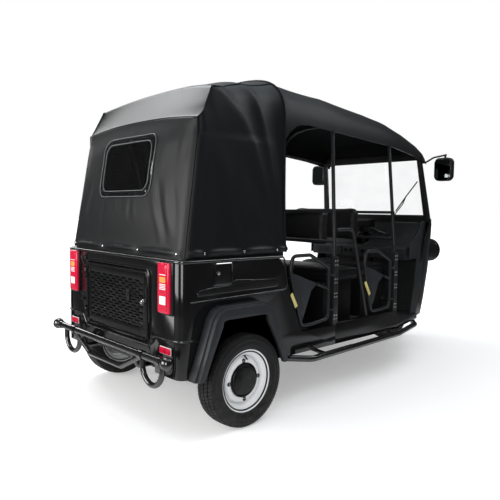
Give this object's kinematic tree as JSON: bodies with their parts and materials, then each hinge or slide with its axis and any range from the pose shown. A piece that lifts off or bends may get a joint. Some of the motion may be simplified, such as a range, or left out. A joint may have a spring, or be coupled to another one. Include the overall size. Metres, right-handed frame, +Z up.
{
  "type": "auto rickshaw",
  "caption": "Three-wheeled passenger rickshaw with a soft hood, tube half doors, seat rows, handlebar steering and a perforated rear door",
  "frame": {"origin": "middle of the vehicle's plan, on the ground under its tyres", "axes": "+X is the vehicle's right side, +Y is forward, +Z is up"},
  "size_m": [1.4592, 3.1487, 1.93],
  "materials": {
    "frame_black": "satin black enamel",
    "body_black": "gloss black enamel",
    "cast_grey": "rough cast grey",
    "flare_grey": "textured dark grey moulding",
    "floor_grey": "ribbed rubber over steel sheet",
    "lamp_red": "clear red moulding",
    "clear_glass": "clear safety glass",
    "lamp_black": "gloss black",
    "lens": "clear moulded lens",
    "dash_grey": "grained dark grey moulding",
    "canvas": "coated black canvas",
    "soft_window": "clear flexible film",
    "seat_vinyl": "black upholstery",
    "tube_black": "gloss black enamel",
    "trim_black": "black moulding",
    "tyre_rubber": "black rubber",
    "rim_silver": "silver white enamel",
    "cap_black": "black moulding"
  },
  "bodies": {
    "vehicle": {"chassis": "frame_black", "rear_axle": "frame_black", "motor": "cast_grey", "trailing_arms": "frame_black", "dampers": "frame_black", "floor_pan": "floor_grey", "wheelhouses": "frame_black", "quarters": "body_black", "flares": "flare_grey", "sills": "body_black", "rear_panel": "body_black", "tail_lamps": "lamp_red", "posts_middle": "tube_black", "posts_front": "tube_black", "hood_bows": "frame_black", "roof_rails": "frame_black", "windshield_frame": "body_black", "windshield": "clear_glass", "nose": "body_black", "headlamps": "lamp_black", "headlamp_lenses": "lens", "dash": "dash_grey", "canopy": "canvas", "hood_window": "soft_window", "seat_boxes": "frame_black", "cushions": "seat_vinyl", "backrests": "seat_vinyl", "bumper": "tube_black", "step_rails": "tube_black", "mirrors": "trim_black", "wiper": "trim_black", "pedals": "frame_black"},
    "steering": {"handlebar": "trim_black", "fork": "frame_black", "front_guard": "frame_black"},
    "front_wheel": {"tyre_front": "tyre_rubber", "rim_front": "rim_silver"},
    "right_wheel": {"tyre_right": "tyre_rubber", "rim_right": "rim_silver", "cap_right": "cap_black"},
    "left_wheel": {"tyre_left": "tyre_rubber", "rim_left": "rim_silver", "cap_left": "cap_black"},
    "rear_right_door": {"door_rear_right": "tube_black"},
    "front_right_door": {"door_front_right": "tube_black"},
    "rear_left_door": {"door_rear_left": "tube_black"},
    "front_left_door": {"door_front_left": "tube_black"},
    "tailgate": {"rear_door": "body_black"},
    "flap": {"filler_flap": "body_black"}
  },
  "joints": [
    {"name": "right_wheel_spin", "type": "hinge", "parent": "vehicle", "child": "right_wheel", "pos_m": [0.637, -1.0855, 0.25], "axis": [1, 0, 0], "continuous": true},
    {"name": "left_wheel_spin", "type": "hinge", "parent": "vehicle", "child": "left_wheel", "pos_m": [-0.637, -1.0855, 0.25], "axis": [1, 0, 0], "continuous": true},
    {"name": "steer", "type": "hinge", "parent": "vehicle", "child": "steering", "pos_m": [0, 1.23428, 0.22063], "axis": [0, -0.4384, 0.8988], "range_deg": [-38, 38]},
    {"name": "front_wheel_spin", "type": "hinge", "parent": "steering", "child": "front_wheel", "pos_m": [0, 1.2945, 0.25], "axis": [1, 0, 0], "continuous": true},
    {"name": "rear_right_door_swing", "type": "hinge", "parent": "vehicle", "child": "rear_right_door", "pos_m": [0.636, -0.3025, 0.6], "axis": [0, 0, 1], "range_deg": [0, 80]},
    {"name": "front_right_door_swing", "type": "hinge", "parent": "vehicle", "child": "front_right_door", "pos_m": [0.636, 0.3825, 0.6], "axis": [0, 0, 1], "range_deg": [0, 80]},
    {"name": "rear_left_door_swing", "type": "hinge", "parent": "vehicle", "child": "rear_left_door", "pos_m": [-0.636, -0.3025, 0.6], "axis": [0, 0, -1], "range_deg": [0, 80]},
    {"name": "front_left_door_swing", "type": "hinge", "parent": "vehicle", "child": "front_left_door", "pos_m": [-0.636, 0.3825, 0.6], "axis": [0, 0, -1], "range_deg": [0, 80]},
    {"name": "tailgate_swing", "type": "hinge", "parent": "vehicle", "child": "tailgate", "pos_m": [-0.351, -1.4825, 0.64], "axis": [0, 0, -1], "range_deg": [0, 110]},
    {"name": "flap_swing", "type": "hinge", "parent": "vehicle", "child": "flap", "pos_m": [0.634, -1.1465, 0.82], "axis": [0, 0, 1], "range_deg": [0, 100]}
  ]
}
